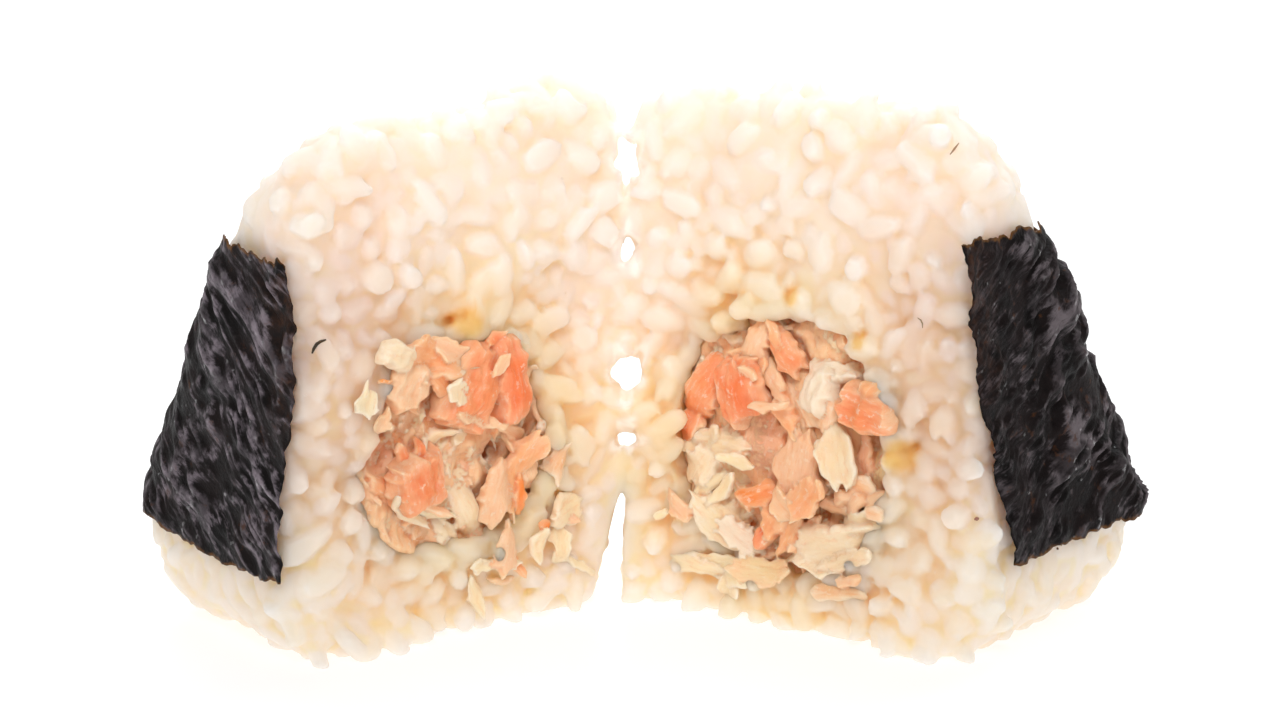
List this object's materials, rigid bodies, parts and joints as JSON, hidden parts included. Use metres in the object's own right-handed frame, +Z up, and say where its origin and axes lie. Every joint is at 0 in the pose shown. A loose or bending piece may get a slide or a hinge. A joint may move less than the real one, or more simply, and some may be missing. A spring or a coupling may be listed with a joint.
{
  "type": "onigiri rice ball",
  "caption": "Triangular onigiri of pressed white rice with flaked salmon inside and a nori strip, torn open like a book and still joined at the back.",
  "frame": {"origin": "middle of the whole's footprint on the surface it stands on", "axes": "+X from the left half to the right half, -Y towards the side that the torn faces open to, +Z up"},
  "size_m": [0.1198, 0.0594, 0.063],
  "materials": {
    "rice": "moist cooked short-grain rice, translucent cream white, soft sheen on each grain",
    "salmon_flakes": "cooked salmon broken into fibrous flakes, peach to cream",
    "salmon_chunk": "cooked salmon in firm coral chunks, moist",
    "nori": "roasted seaweed sheet, near black, crinkled, with a satin sheen and thin brown edges"
  },
  "bodies": {
    "root": {"rice": "rice", "salmon_left": "salmon_flakes", "salmon_right": "salmon_flakes", "salmon_chunk_left_top": "salmon_chunk", "salmon_chunk_left_low": "salmon_chunk", "salmon_chunk_left_side": "salmon_chunk", "salmon_chunk_right_top": "salmon_chunk", "salmon_chunk_right_deep": "salmon_chunk", "salmon_chunk_right_side": "salmon_chunk", "salmon_chunk_right_pale": "salmon_chunk", "nori_left": "nori", "nori_right": "nori"}
  },
  "joints": []
}
